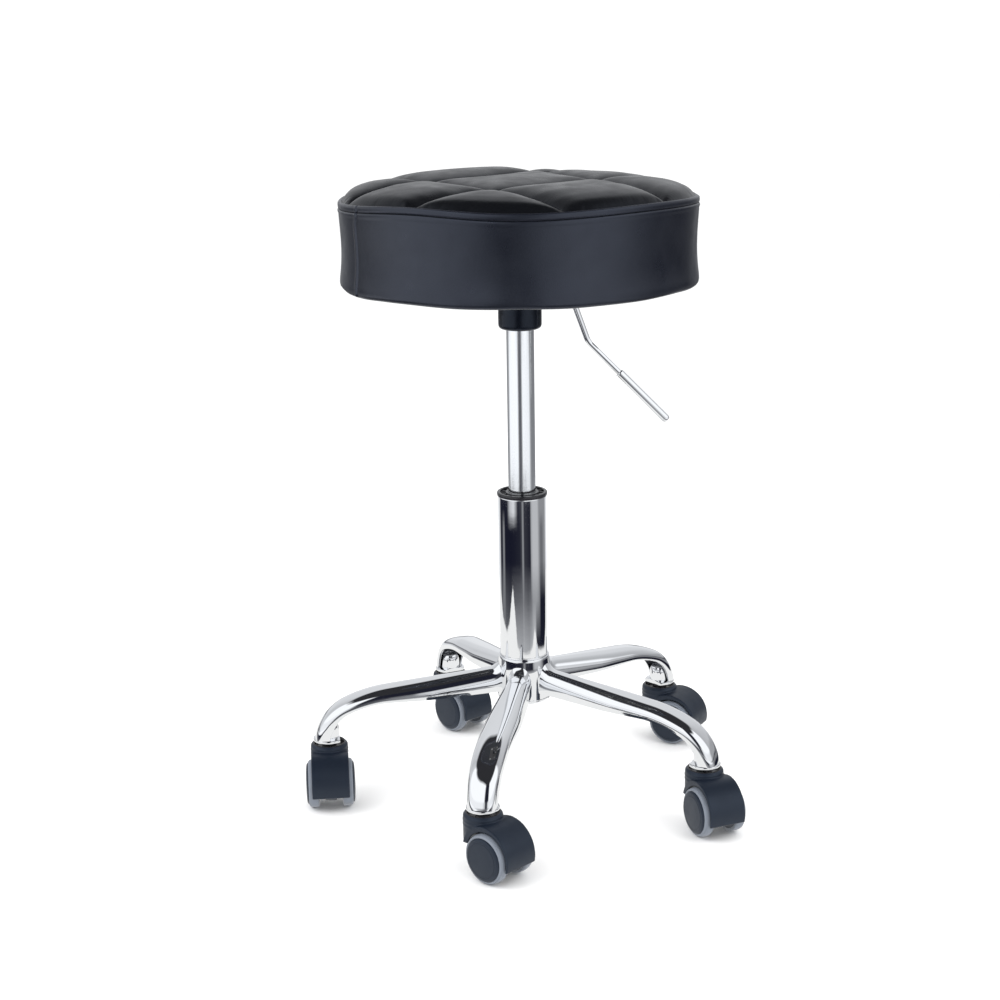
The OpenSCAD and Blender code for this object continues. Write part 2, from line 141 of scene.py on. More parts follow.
def evenly(points, count):
    """Points the same distance apart along a flat line."""
    points = np.array(points, float)
    length = np.concatenate(([0], np.cumsum(np.linalg.norm(np.diff(points, axis=0), axis=1))))
    even = np.linspace(0, length[-1], count)
    return np.stack([np.interp(even, length, points[:, k]) for k in (0, 1)], axis=1)


def joined(*shapes):
    """One shape from several."""
    verts, faces = [], []
    for points, polygons in shapes:
        first = len(verts)
        verts.extend(points)
        faces.extend(tuple(first + i for i in polygon) for polygon in polygons)
    return verts, faces


def moved(shape, matrix):
    verts, faces = shape
    return [tuple(matrix @ Vector(v)) for v in verts], faces


def turned(degrees, axis="Z"):
    return Matrix.Rotation(math.radians(degrees), 4, axis)


def shifted(x, y, z):
    return Matrix.Translation((x, y, z))


def as_sheet(name, shape):
    """A Blender mesh in metres."""
    verts, faces = shape
    mesh = bpy.data.meshes.new(name)
    mesh.from_pydata([tuple(c * MM for c in v) for v in verts], [], faces)
    return mesh


def as_mesh(name, shape):
    """A Blender mesh in metres, with doubled points merged and its faces turned outward."""
    mesh = as_sheet(name, shape)
    work = bmesh.new()
    work.from_mesh(mesh)
    bmesh.ops.remove_doubles(work, verts=work.verts, dist=0.002 * MM)
    bmesh.ops.recalc_face_normals(work, faces=work.faces)
    work.to_mesh(mesh)
    work.free()
    return mesh


def added(name, data):
    obj = bpy.data.objects.new(name, data)
    bpy.context.scene.collection.objects.link(obj)
    return obj


def piece(name, mesh, body, slot, replaces=(), place=None, sharp=38):
    """Puts a mesh into the scene as a named piece that rides on a CAD body, in its slot's material."""
    mesh = mesh if isinstance(mesh, bpy.types.Mesh) else as_mesh(name, mesh)
    if not mesh.materials:
        mesh.materials.append(PAINTS[slot])
    mesh.shade_smooth()
    mesh.set_sharp_from_angle(angle=math.radians(sharp))
    obj = added(name, mesh)
    if place is not None:
        obj.matrix_world = place
    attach(obj, body)
    if replaces:
        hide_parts(*replaces)
    return obj


def apply_modifiers(obj):
    """Turns an object's modifiers into its own mesh."""
    graph = bpy.context.evaluated_depsgraph_get()
    mesh = bpy.data.meshes.new_from_object(obj.evaluated_get(graph))
    obj.modifiers.clear()
    obj.data = mesh
    return mesh


def coords(mesh):
    co = np.zeros(len(mesh.vertices) * 3)
    mesh.vertices.foreach_get("co", co)
    return co.reshape(-1, 3)


def set_coords(mesh, co):
    mesh.vertices.foreach_set("co", co.astype(np.float32).ravel())
    mesh.update()


# ---------------------------------------------------------------- materials

class Paint:
    """Builds one procedural material, node by node."""

    def __init__(self, name):
        self.material = bpy.data.materials.new(name)
        self.material.use_nodes = True
        self.tree = self.material.node_tree
        self.shader = self.tree.nodes["Principled BSDF"]
        self.where = self.add("ShaderNodeTexCoord").outputs["Object"]

    def add(self, kind, **values):
        node = self.tree.nodes.new(kind)
        for key, value in values.items():
            if hasattr(node, key):
                setattr(node, key, value)
            else:
                self.put(node, key.replace("_", " "), value)
        return node

    def feed(self, socket, value):
        """Gives an input a plain value, or links another node's output to it."""
        if hasattr(value, "links"):
            self.tree.links.new(value, socket)
        else:
            socket.default_value = value

    def put(self, node, name, value):
        self.feed(node.inputs[name] if name in node.inputs else node.inputs[name.title()], value)

    def stretched(self, x, y, z):
        """Coordinates squeezed by a factor along each axis, for a directional grain."""
        node = self.add("ShaderNodeMapping", Vector=self.where)
        node.inputs["Scale"].default_value = (x, y, z)
        return node.outputs["Vector"]

    def noise(self, scale, detail=3.0, where=None):
        node = self.add("ShaderNodeTexNoise", Vector=where or self.where, Scale=scale, Detail=detail)
        return node.outputs["Fac"]

    def cells(self, scale, feature="F1"):
        node = self.add("ShaderNodeTexVoronoi", feature=feature, Vector=self.where, Scale=scale)
        return node.outputs["Distance"]

    def spread(self, value, low, high, start=0.3, end=0.7):
        """A 0 to 1 value spread over another range."""
        node = self.add("ShaderNodeMapRange", Value=value)
        for name, number in (("From Min", start), ("From Max", end), ("To Min", low), ("To Max", high)):
            node.inputs[name].default_value = number
        return node.outputs["Result"]

    def mix(self, factor, a, b):
        """A colour between a and b."""
        node = self.add("ShaderNodeMix", data_type="RGBA")
        for socket, value in zip((node.inputs[0], node.inputs[6], node.inputs[7]), (factor, a, b)):
            self.feed(socket, value)
        return node.outputs[2]

    def bump(self, height, depth, strength=1.0):
        """Adds a layer of relief, `depth` millimetres deep, over the ones before."""
        node = self.add("ShaderNodeBump", Height=height, Distance=depth * MM, Strength=strength)
        before = self.shader.inputs["Normal"]
        if before.links:
            self.tree.links.new(before.links[0].from_socket, node.inputs["Normal"])
        self.tree.links.new(node.outputs["Normal"], before)

    def set(self, **values):
        for key, value in values.items():
            self.put(self.shader, key.replace("_", " "), value)


def rgb(r, g, b):
    return (r, g, b, 1.0)


def scaled(color, factor):
    return tuple(c * factor for c in color[:3]) + (1.0,)


def metal(name, color, smooth, worn, blotch=30, ripple=0.02):
    """Plated or bare metal: a clear colour with smudges in its polish and a faint ripple."""
    p = Paint(name)
    smudge = p.noise(blotch, 4.0)
    p.set(Base_Color=p.mix(p.noise(12.0), scaled(color, 0.96), scaled(color, 1.03)), Metallic=1.0,
          Roughness=p.spread(smudge, smooth, worn))
    p.bump(p.noise(90.0, 2.0), ripple)
    return p


def brushed(name, color, rough, across=(1, 1, 60)):
    """Metal with a fine directional grain."""
    p = metal(name, color, rough, rough * 1.5, 25)
    p.bump(p.noise(260.0, 2.0, p.stretched(*across)), 0.005)
    return p


def moulded(name, color, rough, grain=0.02, grain_scale=2200, gloss_coat=0.0):
    """Moulded plastic: fine spark texture, slight mottling, edges rubbed a little paler."""
    p = Paint(name)
    mottled = p.mix(p.noise(35.0, 4.0), scaled(color, 0.85), scaled(color, 1.18))
    edge = p.spread(p.add("ShaderNodeNewGeometry").outputs["Pointiness"], 0.0, 0.35, 0.52, 0.62)
    p.set(Base_Color=p.mix(edge, mottled, scaled(color, 2.2)),
          Roughness=p.spread(p.noise(60.0, 5.0), rough * 0.85, rough * 1.2))
    p.set(Coat_Weight=gloss_coat, Coat_Roughness=0.05)
    p.bump(p.noise(grain_scale, 2.0), grain)
    return p


def vinyl(name, color, rough, index):
    """Upholstery vinyl: pebbled grain with soft creases, a bluish shine and uneven polish."""
    p = Paint(name)
    grain = p.cells(1150.0, "SMOOTH_F1")
    crease = p.noise(55.0, 5.0)
    p.set(Base_Color=p.mix(p.noise(18.0, 4.0), scaled(color, 0.8), scaled(color, 1.25)),
          Roughness=p.spread(crease, rough * 0.85, rough * 1.2),
          IOR=index, Specular_Tint=rgb(0.74, 0.81, 1.0))
    p.bump(grain, 0.05)
    p.bump(p.noise(420.0, 4.0), 0.03)
    p.bump(crease, 0.15, 0.5)
    return p


def fabric(name, color):
    """Spun dust-cover fabric: crossing fibres over a mottled colour."""
    p = Paint(name)
    weave = p.add("ShaderNodeTexWave", Vector=p.where, Scale=380.0, Distortion=1.5)
    weft = p.add("ShaderNodeTexWave", Vector=p.where, Scale=380.0, Distortion=1.5, bands_direction="Y")
    p.set(Base_Color=p.mix(p.noise(260.0, 6.0), scaled(color, 0.6), scaled(color, 1.6)),
          Roughness=p.spread(p.noise(80.0), 0.75, 0.95), Sheen_Weight=0.3)
    p.bump(weave.outputs["Fac"], 0.08)
    p.bump(weft.outputs["Fac"], 0.08)
    return p


def plywood(name):
    """Birch plywood: thin plies stacked by height, with grain along the face."""
    p = Paint(name)
    height = p.add("ShaderNodeSeparateXYZ", Vector=p.where).outputs["Z"]
    ply = p.add("ShaderNodeMath", operation="SINE")
    step = p.add("ShaderNodeMath", operation="MULTIPLY")
    step.inputs[1].default_value = TAU / (3.0 * MM)
    p.tree.links.new(height, step.inputs[0])
    p.tree.links.new(step.outputs[0], ply.inputs[0])
    plies = p.spread(ply.outputs[0], 0.0, 1.0, -0.3, 0.3)
    grain = p.noise(60.0, 6.0, p.stretched(1, 14, 14))
    wood = p.mix(grain, rgb(0.42, 0.27, 0.14), rgb(0.66, 0.48, 0.28))
    p.set(Base_Color=p.mix(plies, wood, p.mix(grain, rgb(0.3, 0.17, 0.08), rgb(0.4, 0.25, 0.12))),
          Roughness=p.spread(grain, 0.55, 0.8))
    p.bump(grain, 0.1)
    return p


def foam(name):
    """Open-cell foam."""
    p = Paint(name)
    p.set(Base_Color=p.mix(p.noise(25.0), rgb(0.62, 0.55, 0.33), rgb(0.75, 0.68, 0.46)),
          Roughness=p.spread(p.noise(300.0), 0.8, 0.98), Subsurface_Weight=0.05)
    p.bump(p.cells(900.0), 0.4)
    return p


def tread(name, color):
    """Grey polyurethane, mottled by dust."""
    p = Paint(name)
    dust = p.noise(90.0, 6.0)
    p.set(Base_Color=p.mix(dust, scaled(color, 0.86), scaled(color, 1.14)),
          Roughness=p.spread(dust, 0.32, 0.5))
    p.bump(p.noise(1400.0, 3.0), 0.02)
    return p


PAINTS = {
    "chrome": metal("chrome", rgb(0.86, 0.87, 0.885), 0.025, 0.05),
    "hard_chrome": metal("hard_chrome", rgb(0.74, 0.75, 0.76), 0.06, 0.1),
    "satin_cylinder": brushed("satin_cylinder", rgb(0.93, 0.95, 0.97), 0.1),
    "zinc_steel": brushed("zinc_steel", rgb(0.7, 0.71, 0.72), 0.22, (1, 1, 6)),
    "spring_steel": brushed("spring_steel", rgb(0.3, 0.3, 0.32), 0.3, (1, 1, 12)),
    "bearing_steel": metal("bearing_steel", rgb(0.6, 0.6, 0.62), 0.08, 0.16),
    "black_paint": moulded("black_paint", rgb(0.02, 0.02, 0.022), 0.4, 0.03, 900),
    "black_plastic": moulded("black_plastic", rgb(0.012, 0.012, 0.015), 0.18, 0.008),
    "gloss_boot": moulded("gloss_boot", rgb(0.0022, 0.0032, 0.0065), 0.21, 0.006, 900, 0.02),
    "caster_plastic": moulded("caster_plastic", rgb(0.0065, 0.0105, 0.0195), 0.42),
    "grey_tread": tread("grey_tread", rgb(0.178, 0.2, 0.24)),
    "black_rubber": moulded("black_rubber", rgb(0.02, 0.02, 0.02), 0.6, 0.04, 1200),
    "brass_piston": brushed("brass_piston", rgb(0.72, 0.52, 0.22), 0.2, (1, 1, 30)),
    "plywood": plywood("plywood"),
    "foam": foam("foam"),
    "dust_fabric": fabric("dust_fabric", rgb(0.006, 0.008, 0.014)),
    "black_vinyl": vinyl("black_vinyl", rgb(0.0045, 0.0055, 0.0095), 0.32, 1.62),
}
PAINTS["gloss_boot"].set(IOR=1.38, Specular_Tint=rgb(0.66, 0.78, 1.0))
PAINTS["caster_plastic"].set(Specular_Tint=rgb(0.74, 0.84, 1.0))
PAINTS = {name: p.material for name, p in PAINTS.items()}

# The top panel's vinyl is the same cover as the band's, given here as a darker, less blue and less shiny
# copy: its colour carries painted shade.
SHADED_TOP_VINYL = vinyl("top_vinyl_painted_shade", rgb(0.003, 0.0033, 0.0042), 0.31, 1.3).material
LEG_INSIDE = metal("leg_inside", rgb(0.34, 0.35, 0.37), 0.28, 0.42).material

# The stitching thread is near-black, darker than the cover: painted shade that stands in for the dark
# needle holes along the stitching.
SHADED_THREAD = Paint("seat_thread_shaded")
SHADED_THREAD.set(
    Base_Color=SHADED_THREAD.mix(SHADED_THREAD.noise(900.0), rgb(0.0008, 0.0009, 0.0012), rgb(0.003, 0.003, 0.004)),
    Roughness=SHADED_THREAD.spread(SHADED_THREAD.noise(500.0), 0.4, 0.65),
)
SHADED_THREAD.bump(SHADED_THREAD.noise(2600.0, 2.0, SHADED_THREAD.stretched(1, 1, 3)), 0.05)
SHADED_THREAD = SHADED_THREAD.material


def paint_cad_nodes():
    """Gives every CAD node the material of its own slot in the record."""
    for part in frame["record"]["subparts"]:
        mesh = frame["nodes"][part["node"]].data
        mesh.materials.clear()
        mesh.materials.append(PAINTS[part["material_slot"]])


# ---------------------------------------------------------------- base

LEG_DEPTHS = [(0, 26), (100, 18.5), (150, 13), (190, 12), (214, 13.5), (224, 15.5)]
LEG_WIDTHS = [(0, 24), (30, 26), (110, 35), (185, 33.5), (214, 31), (224, 29.5)]
LEG_WALL = 2.2
LEG_ROWS = 109
LEG_RING = 98
LEG_SLOPES = (7.4, 25.0, 80.0)
SWEEP_R = 151
KNEE_R = 55.5
KNEE_CENTER = np.array((BASE_R - 40.0, 58.0))
LEG_ROOT_R = 27.0
ARCH_POWER = 0.72


def smooth_table(table, r, blur=9.0):
    """A value read from a table, averaged over a short stretch so that no kink shows."""
    radii, values = zip(*table)
    near = r + np.linspace(-blur, blur, 9)
    return float(np.mean(np.interp(near, radii, values)))


def leg_line(count=110):
    """Points down the top of a leg: [distance from the column, height, slope in degrees]."""
    def on_arc(center, radius, slope):
        return center + radius * np.array((math.sin(math.radians(slope)), math.cos(math.radians(slope))))

    first, middle, last = LEG_SLOPES
    knee_start = on_arc(KNEE_CENTER, KNEE_R, middle)
    sweep_center = knee_start - (on_arc(KNEE_CENTER, SWEEP_R, middle) - KNEE_CENTER)
    sweep_start = on_arc(sweep_center, SWEEP_R, first)
    root_z = sweep_start[1] + (sweep_start[0] - LEG_ROOT_R) * math.tan(math.radians(first))
    root = np.array((LEG_ROOT_R, root_z))
    line = [root * (1 - f) + sweep_start * f for f in np.linspace(0, 1, 60, endpoint=False)]
    line += [on_arc(sweep_center, SWEEP_R, s) for s in np.linspace(first, middle, 40, endpoint=False)]
    line += [on_arc(KNEE_CENTER, KNEE_R, s) for s in np.linspace(middle, last, 60)]
    points = evenly(line, count)
    heading = np.gradient(points, axis=0)
    slope = np.degrees(np.arctan2(-heading[:, 1], heading[:, 0]))
    window = np.hanning(11) / np.hanning(11).sum()
    slope = np.convolve(np.pad(slope, 5, mode="edge"), window, mode="valid")
    return [(p[0], p[1], s) for p, s in zip(points, slope)]


def arch(width, depth, drop, count=48):
    """Half-round section from one lower edge over the top to the other, evenly spaced."""
    a = np.linspace(0, math.pi, 400)
    x = width / 2 * np.sign(np.cos(a)) * np.abs(np.cos(a)) ** ARCH_POWER
    z = -drop - (depth - drop) * (1 - np.maximum(0, np.sin(a)) ** ARCH_POWER)
    return evenly(np.stack([x, z], axis=1), count)


def root_flare(r):
    """How far a leg's top sweeps up toward the column tube near the hub."""
    return 6.0 * max(0.0, (37 - r) / 10) ** 2


def leg_shape():
    """One pressed channel leg along +X, open underneath, with rolled lower edges."""
    rows = []
    for r, z, slope in leg_line():
        width = smooth_table(LEG_WIDTHS, r)
        flare = root_flare(r)
        depth = smooth_table(LEG_DEPTHS, r) + flare
        outer = arch(width, depth, 0)
        inner = arch(width - 2 * LEG_WALL, depth, LEG_WALL)[::-1]
        lip = LEG_WALL / 2
        roll_in = np.array((inner[0] + outer[-1])) / 2 + (0, -lip * 0.45)
        roll_out = np.array((inner[-1] + outer[0])) / 2 + (0, -lip * 0.45)
        outline = np.vstack((outer, roll_in[None], inner, roll_out[None]))
        tilt = math.radians(slope)
        rows.append([(r + p[1] * math.sin(tilt), p[0], z + flare + p[1] * math.cos(tilt))
                     for p in outline])
    count = len(rows[0])
    rows[0] = [(math.sqrt(max(1, (HUB_R - 0.4) ** 2 - p[1] ** 2)), p[1], p[2]) for p in rows[0]]
    verts = [p for row in rows for p in row]
    faces = ring_faces(len(rows), count, False, True)
    half = count // 2
    last = (len(rows) - 1) * count
    for first, flip in ((0, True), (last, False)):
        for i in range(half - 1):
            a, b = first + i, first + count - 2 - i
            face = (a, a + 1, b - 1, b) if flip else (b, b - 1, a + 1, a)
            faces.append(face)
    return verts, faces


def foot_shape():
    """Plated ring under a leg's tip, cut straight on the hub side, with its socket tube."""
    plate = lathe(rounded([(5.6, 64.5, 0), (16.5, 64.5, 0.9), (16.5, 67.5, 1.2), (11, 68.6, 0.8),
                           (5.6, 68.6, 0)]), 96)
    verts, faces = plate
    verts = [(max(x, -11.2 - 0.02 * y * y / 16), y, z) for x, y, z in verts]
    tube = lathe(rounded([(5.6, 68, 0), (11, 68, 0.5), (11, 79, 3), (9.2, 84, 1), (5.6, 84, 0.4)]), 64)
    return joined((verts, faces), tube)


def weld_bead(radius, height, thick, lumps, seed):
    """A plated weld round the hub, slightly uneven along its length."""
    rng = np.random.default_rng(seed)
    phase = rng.uniform(0, TAU, 3)
    verts = []
    rows = 240
    for k in range(rows):
        a = TAU * k / rows
        swell = 1 + 0.14 * math.sin(lumps * a + phase[0]) + 0.1 * math.sin(2.3 * lumps * a + phase[1])
        for b in np.linspace(0, TAU, 12, endpoint=False):
            r = radius + thick * swell * math.cos(b)
            verts.append((r * math.cos(a), r * math.sin(a), height + thick * swell * math.sin(b)))
    return verts, ring_faces(rows, 12, True, True)


def build_base():
    hub = rounded([(25.05, HUB_BOTTOM, 0.3), (HUB_R, HUB_BOTTOM, 1.2), (HUB_R, 138, 3),
                   (26.9, 148.6, 0.8), (26.4, HUB_TOP, 0.4), (25.05, HUB_TOP, 0.3)])
    piece("base_hub", joined(lathe(hub), weld_bead(27.6, 105.4, 0.7, 40, 3)), "base", "chrome", ["hub"])
    leg = as_mesh("base_leg", leg_shape())
    leg.materials.append(PAINTS["chrome"])
    leg.materials.append(LEG_INSIDE)
    for k, polygon in enumerate(leg.polygons):
        ring_place = k % LEG_RING
        if LEG_RING // 2 <= ring_place < LEG_RING - 2 and k < LEG_ROWS * LEG_RING:
            polygon.material_index = 1
    foot = as_mesh("base_foot", foot_shape())
    for i, angle in enumerate(LEG_ANGLES, 1):
        piece(f"base_leg_{i}", leg, "base", "chrome", ["legs"], turned(angle), 50)
        place = turned(angle) @ shifted(BASE_R * MM, 0, 0)
        piece(f"base_foot_{i}", foot, "base", "chrome", ["caster_sockets"], place)


# ---------------------------------------------------------------- column

def collar_shape():
    """The guide bush's collar: a raised lip, then a recess crossed by short ribs."""
    body = rounded([(14.2, 300, 0), (23.4, 300, 0.3), (23.4, 322.4, 0), (25.9, 322.4, 0.6),
                    (26, 326.3, 1.2), (22.6, 326.5, 0.7), (22.2, 323.9, 0.4), (17.4, 323.9, 0.4),
                    (17, 326.1, 0.6), (14.2, 326.1, 0.5)])
    shapes = [lathe(body, 160)]
    for k in range(18):
        rib = [(x, y, z) for x in (17.2, 22.5) for y in (-0.55, 0.55) for z in (323.6, 325.3)]
        faces = [(0, 1, 3, 2), (4, 6, 7, 5), (0, 4, 5, 1), (2, 3, 7, 6), (1, 5, 7, 3), (0, 2, 6, 4)]
        shapes.append(moved((rib, faces), turned(20 * k)))
    return joined(*shapes)


def build_column():
    tube = rounded([(4.1, 101, 0), (24.4, 101, 0.5), (TUBE_R, 102, 0.4), (TUBE_R, 150.4, 0.3),
                    (24.75, 151, 0.2), (24.75, 151.8, 0.2), (TUBE_R, 152.4, 0.3),
                    (TUBE_R, TUBE_TOP, 0.4), (23.5, TUBE_TOP, 0.3), (23.5, 104, 0.5), (4.1, 104, 0)])
    piece("column_tube", lathe(tube, 192), "base", "chrome", ["outer_tube"])
    piece("column_collar", collar_shape(), "base", "black_plastic", ["guide_bush"])
    cylinder = rounded([(7, 271.5, 0), (13.2, 271.5, 0.4), (14, 272.5, 0.4), (14, 497, 0.2),
                        (13.2, 523.5, 0.3), (2.7, 523.5, 0), (2.7, 505, 0), (12, 505, 0), (12, 274, 0),
                        (7, 274, 0)])
    piece("column_cylinder", lathe(cylinder, 160), "seat", "satin_cylinder", ["gas_cylinder"])
    boot = rounded([(15, 495.5, 0.5), (21.9, 495.5, 5.2), (22, 511, 0.3), (21.85, 522.2, 0.8),
                    (21.0, 524, 0.5), (19.05, 524, 0), (19.05, 497, 0), (15, 497, 0)], 9)
    piece("column_boot", lathe(boot, 160), "seat", "gloss_boot", ["socket_boot"])


# ---------------------------------------------------------------- lever

LEVER_PATH = [(-5, 533), (50, 533), (68.5, 481), (146, 402)]
LEVER_BENDS = [0, 9, 20, 0]


def lever_line():
    """The lever's centre line in the XZ plane, with round bends and evenly close points."""
    points = []
    for i, (x, z) in enumerate(LEVER_PATH):
        here = np.array((x, z), float)
        if not LEVER_BENDS[i]:
            points.append(here)
            continue
        before = np.array(LEVER_PATH[i - 1], float) - here
        after = np.array(LEVER_PATH[i + 1], float) - here
        before /= np.linalg.norm(before)
        after /= np.linalg.norm(after)
        half = math.acos(np.clip(before @ after, -1, 1)) / 2
        setback = LEVER_BENDS[i] / math.tan(half)
        middle = here + (before + after) / np.linalg.norm(before + after) * LEVER_BENDS[i] / math.sin(half)
        start = here + before * setback - middle
        end = here + after * setback - middle
        angle = math.acos(np.clip(start @ end / (LEVER_BENDS[i] ** 2), -1, 1))
        for t in np.linspace(0, 1, 13):
            a = (math.sin((1 - t) * angle) * start + math.sin(t * angle) * end) / math.sin(angle)
            points.append(middle + a)
    return [(x, 0.0, z) for x, z in evenly(points, 150)]


def build_lever():
    eye = lathe(rounded([(2.15, -2.6, 0.3), (5.5, -2.6, 0.5), (5.5, 2.6, 0.5), (2.15, 2.6, 0.3)]), 64)
    eye = moved(eye, shifted(30, 0, 533) @ turned(90, "X"))
    piece("lever_bar", joined(sweep(lever_line(), 3.0), eye), "lever", "chrome", ["lever_rod"])
    (x0, z0), (x1, z1) = LEVER_PATH[-2:]
    tilt = math.degrees(math.atan2(x1 - x0, z1 - z0))
    grip = rounded([(3.05, -66, 0.2), (4.1, -66, 0.4), (4.4, -64.6, 0.5), (4.4, 1.8, 1.4),
                    (3.6, 3.8, 1), (0, 4, 0), (0, 0.05, 0), (3.05, 0.05, 0)])
    place = shifted(x1 * MM, 0, z1 * MM) @ turned(tilt, "Y")
    piece("lever_grip", lathe(grip, 72), "lever", "chrome", ["lever_sleeve"], place)


# ---------------------------------------------------------------- casters

def caster_place(i):
    """Turns a caster drawn on the origin, trailing along +X, into place under leg i."""
    angle = math.radians(LEG_ANGLES[i])
    spot = shifted(BASE_R * MM * math.cos(angle), BASE_R * MM * math.sin(angle), 0)
    return spot @ turned(CASTER_HEADINGS[i])


def hood_mesh():
    """The moulded hood, softened from the CAD solid and given the collar's faint ridges."""
    source = frame["nodes"]["caster_1_hood"].data
    back = caster_place(0).inverted()
    verts = [tuple((back @ v.co) / MM) for v in source.vertices]
    faces = [tuple(p.vertices) for p in source.polygons]
    ridges = [lathe([(17.5, z - 0.9), (19.75, z - 0.9), (20.0, z), (19.75, z + 0.9), (17.5, z + 0.9)], 96)
              for z in (50.5, 54.5)]
    obj = added("hood_source", as_mesh("caster_hood_source", joined((verts, faces), *ridges)))
    remesh = obj.modifiers.new("remesh", "REMESH")
    remesh.mode = "VOXEL"
    remesh.voxel_size = 0.62 * MM
    smooth = obj.modifiers.new("smooth", "SMOOTH")
    smooth.iterations = 7
    smooth.factor = 0.6
    mesh = apply_modifiers(obj)
    bpy.data.objects.remove(obj)
    return mesh


def wheel_disc_shape():
    """The dark core of a wheel: a barrel round the axle, a rim and a domed face with a fine ring."""
    face = [(3.1, 6.6, 0), (13, 6.6, 0.6), (13, 12.8, 0), (21.6, 12.8, 0.4), (21.6, 22.2, 0),
            (21.5, 23.6, 0.7), (20.3, 24.6, 0.8), (17.7, 25.15, 0.2), (17.4, 24.8, 0.2), (17.0, 25.2, 0.2),
            (10, 25.6, 3), (0, 25.7, 0), (0, 24.6, 0), (3.1, 24.6, 0)]
    return lathe(rounded(face, 4), 96)


def tyre_shape():
    """The grey tread, wrapped round the rim with a soft shoulder."""
    outline = [(21.7, 12.6, 0.4), (24.2, 12.4, 1.2), (25, 14, 1.2), (25, 19.4, 2.6), (24.0, 22.3, 1.6),
               (22.1, 23.3, 0.8), (21.5, 22.6, 0.3), (21.7, 22.0, 0)]
    return lathe(rounded(outline, 6), 112)


def build_casters():
    hood = hood_mesh()
    disc = as_mesh("wheel_disc", wheel_disc_shape())
    tyre = as_mesh("wheel_tyre", tyre_shape())
    insert = as_mesh("caster_insert", lathe(rounded([
        (4.6, 56.6, 0), (16.4, 56.6, 0), (16.6, 61.0, 0.4), (17.4, 61.9, 0.6), (16.0, 62.3, 0.5),
        (14.9, 60.2, 0.6), (14.4, 58.2, 0.4), (4.6, 58.0, 0)]), 96))
    axle_side = {"left": turned(-90, "X"), "right": turned(90, "X")}
    for i in range(5):
        name = f"caster_{i + 1}"
        place = caster_place(i)
        piece(f"{name}_shell", hood, name, "caster_plastic", [f"{name}_hood"], place, 60)
        piece(f"{name}_insert", insert, name, "black_plastic", (), place)
        for side, turn_out in axle_side.items():
            wheel = place @ shifted(TRAIL * MM, 0, AXLE_Z * MM) @ turn_out
            body = f"{name}_{side}_wheel"
            piece(f"{name}_{side}_disc", disc, body, "caster_plastic", [f"{name}_{side}_core"], wheel)
            piece(f"{name}_{side}_tyre", tyre, body, "grey_tread", [f"{name}_{side}_tread"], wheel)


# ---------------------------------------------------------------- seat

# Where the quilt's seams cross, named by where they lie on the seat
CROSS_FRONT = np.array((-24.0, -80.0))
CROSS_LEFT = np.array((-89.0, 6.0))
CROSS_RIGHT = np.array((76.0, 8.0))
CROSS_BACK = np.array((24.0, 104.0))
SEAMS = [(CROSS_FRONT, CROSS_RIGHT), (CROSS_LEFT, CROSS_BACK), (CROSS_LEFT, CROSS_FRONT),
         (CROSS_BACK, CROSS_RIGHT)]
PANEL_R = 175.8
PANEL_STEP = 5.0
SEAM_GAP = 2.6
# How high each outer pillow swells, by direction from the middle, and the middle one
PILLOW_RISES = [(0, 8.0), (30, 6.0), (52, 4.6), (75, 7.5), (95, 8.8), (135, 8.2), (180, 9.0), (225, 8.2),
                (360, 8.0)]
MIDDLE_RISE = 5.0
PILLOW_REACH = 56.0
RIM_REACH = 26.0
CORNER_FULLNESS = 4
TOP_LIMIT = 651.5
# Places where the rim stands above or below its usual height: direction, spread (degrees), height
RIM_LIFTS = [(236, 24, 5.0), (312, 32, 3.8), (4, 12, -2.5), (182, 22, -1.5)]


def rim_lift(x, y):
    """How far the rim stands above its usual height, by direction from the middle."""
    turn = np.degrees(np.arctan2(y, x))
    return sum(height * np.exp(-(((turn - at + 180) % 360 - 180) / spread) ** 2)
               for at, spread, height in RIM_LIFTS)


def seam_height(xy):
    """Height of the stitched-down quilt seams: a low crown, by distance from the middle."""
    r = np.hypot(xy[:, 0], xy[:, 1])
    crown = np.interp(r, [0, 60, 95, 125, 150, 165, PANEL_R], [641, 641, 640.6, 638.2, 634, 630.3, 626.6])
    return crown + rim_lift(xy[:, 0], xy[:, 1]) * np.clip((r - 110) / (PANEL_R - 110), 0, 1)


def seam_distances(xy):
    """Distance of each point from each quilt seam."""
    rows = []
    for start, end in SEAMS:
        along = (end - start) / np.linalg.norm(end - start)
        normal = np.array((-along[1], along[0]))
        rows.append(np.abs((xy - start) @ normal))
    return np.array(rows)


def seam_distance(xy):
    """Distance of each point from the nearest quilt seam."""
    return seam_distances(xy).min(axis=0)


def swell(distance, reach):
    """0 on a seam, rising steeply from it and levelling off to 1 at `reach`."""
    return 1 - (1 - np.clip(distance, 0, reach) / reach) ** 2.5


def pillow_lift(xy):
    """How far the padding pushes the cover up above its stitched-down height."""
    r = np.hypot(xy[:, 0], xy[:, 1])
    turn = np.degrees(np.arctan2(xy[:, 1], xy[:, 0])) % 360
    outer = np.interp(turn, *zip(*PILLOW_RISES))
    rise = MIDDLE_RISE + (outer - MIDDLE_RISE) * np.clip((r - 50) / 80, 0, 1)
    shares = [swell(PANEL_R - r, RIM_REACH)] + [swell(d, PILLOW_REACH) for d in seam_distances(xy)]
    together = sum(np.maximum(share, 0.001) ** -CORNER_FULLNESS for share in shares)
    return rise * (together / len(shares)) ** (-1 / CORNER_FULLNESS)


def seam_points():
    """Points every few millimetres along each seam, out to the rim."""
    lines = []
    for start, end in SEAMS:
        along = (end - start) / np.linalg.norm(end - start)
        middle = -(start @ along)
        foot = start + along * middle
        reach = math.sqrt(PANEL_R ** 2 - foot @ foot)
        count = int(2 * reach / PANEL_STEP)
        lines.append([foot + along * s for s in np.linspace(-reach, reach, count)[1:-1]])
    return lines


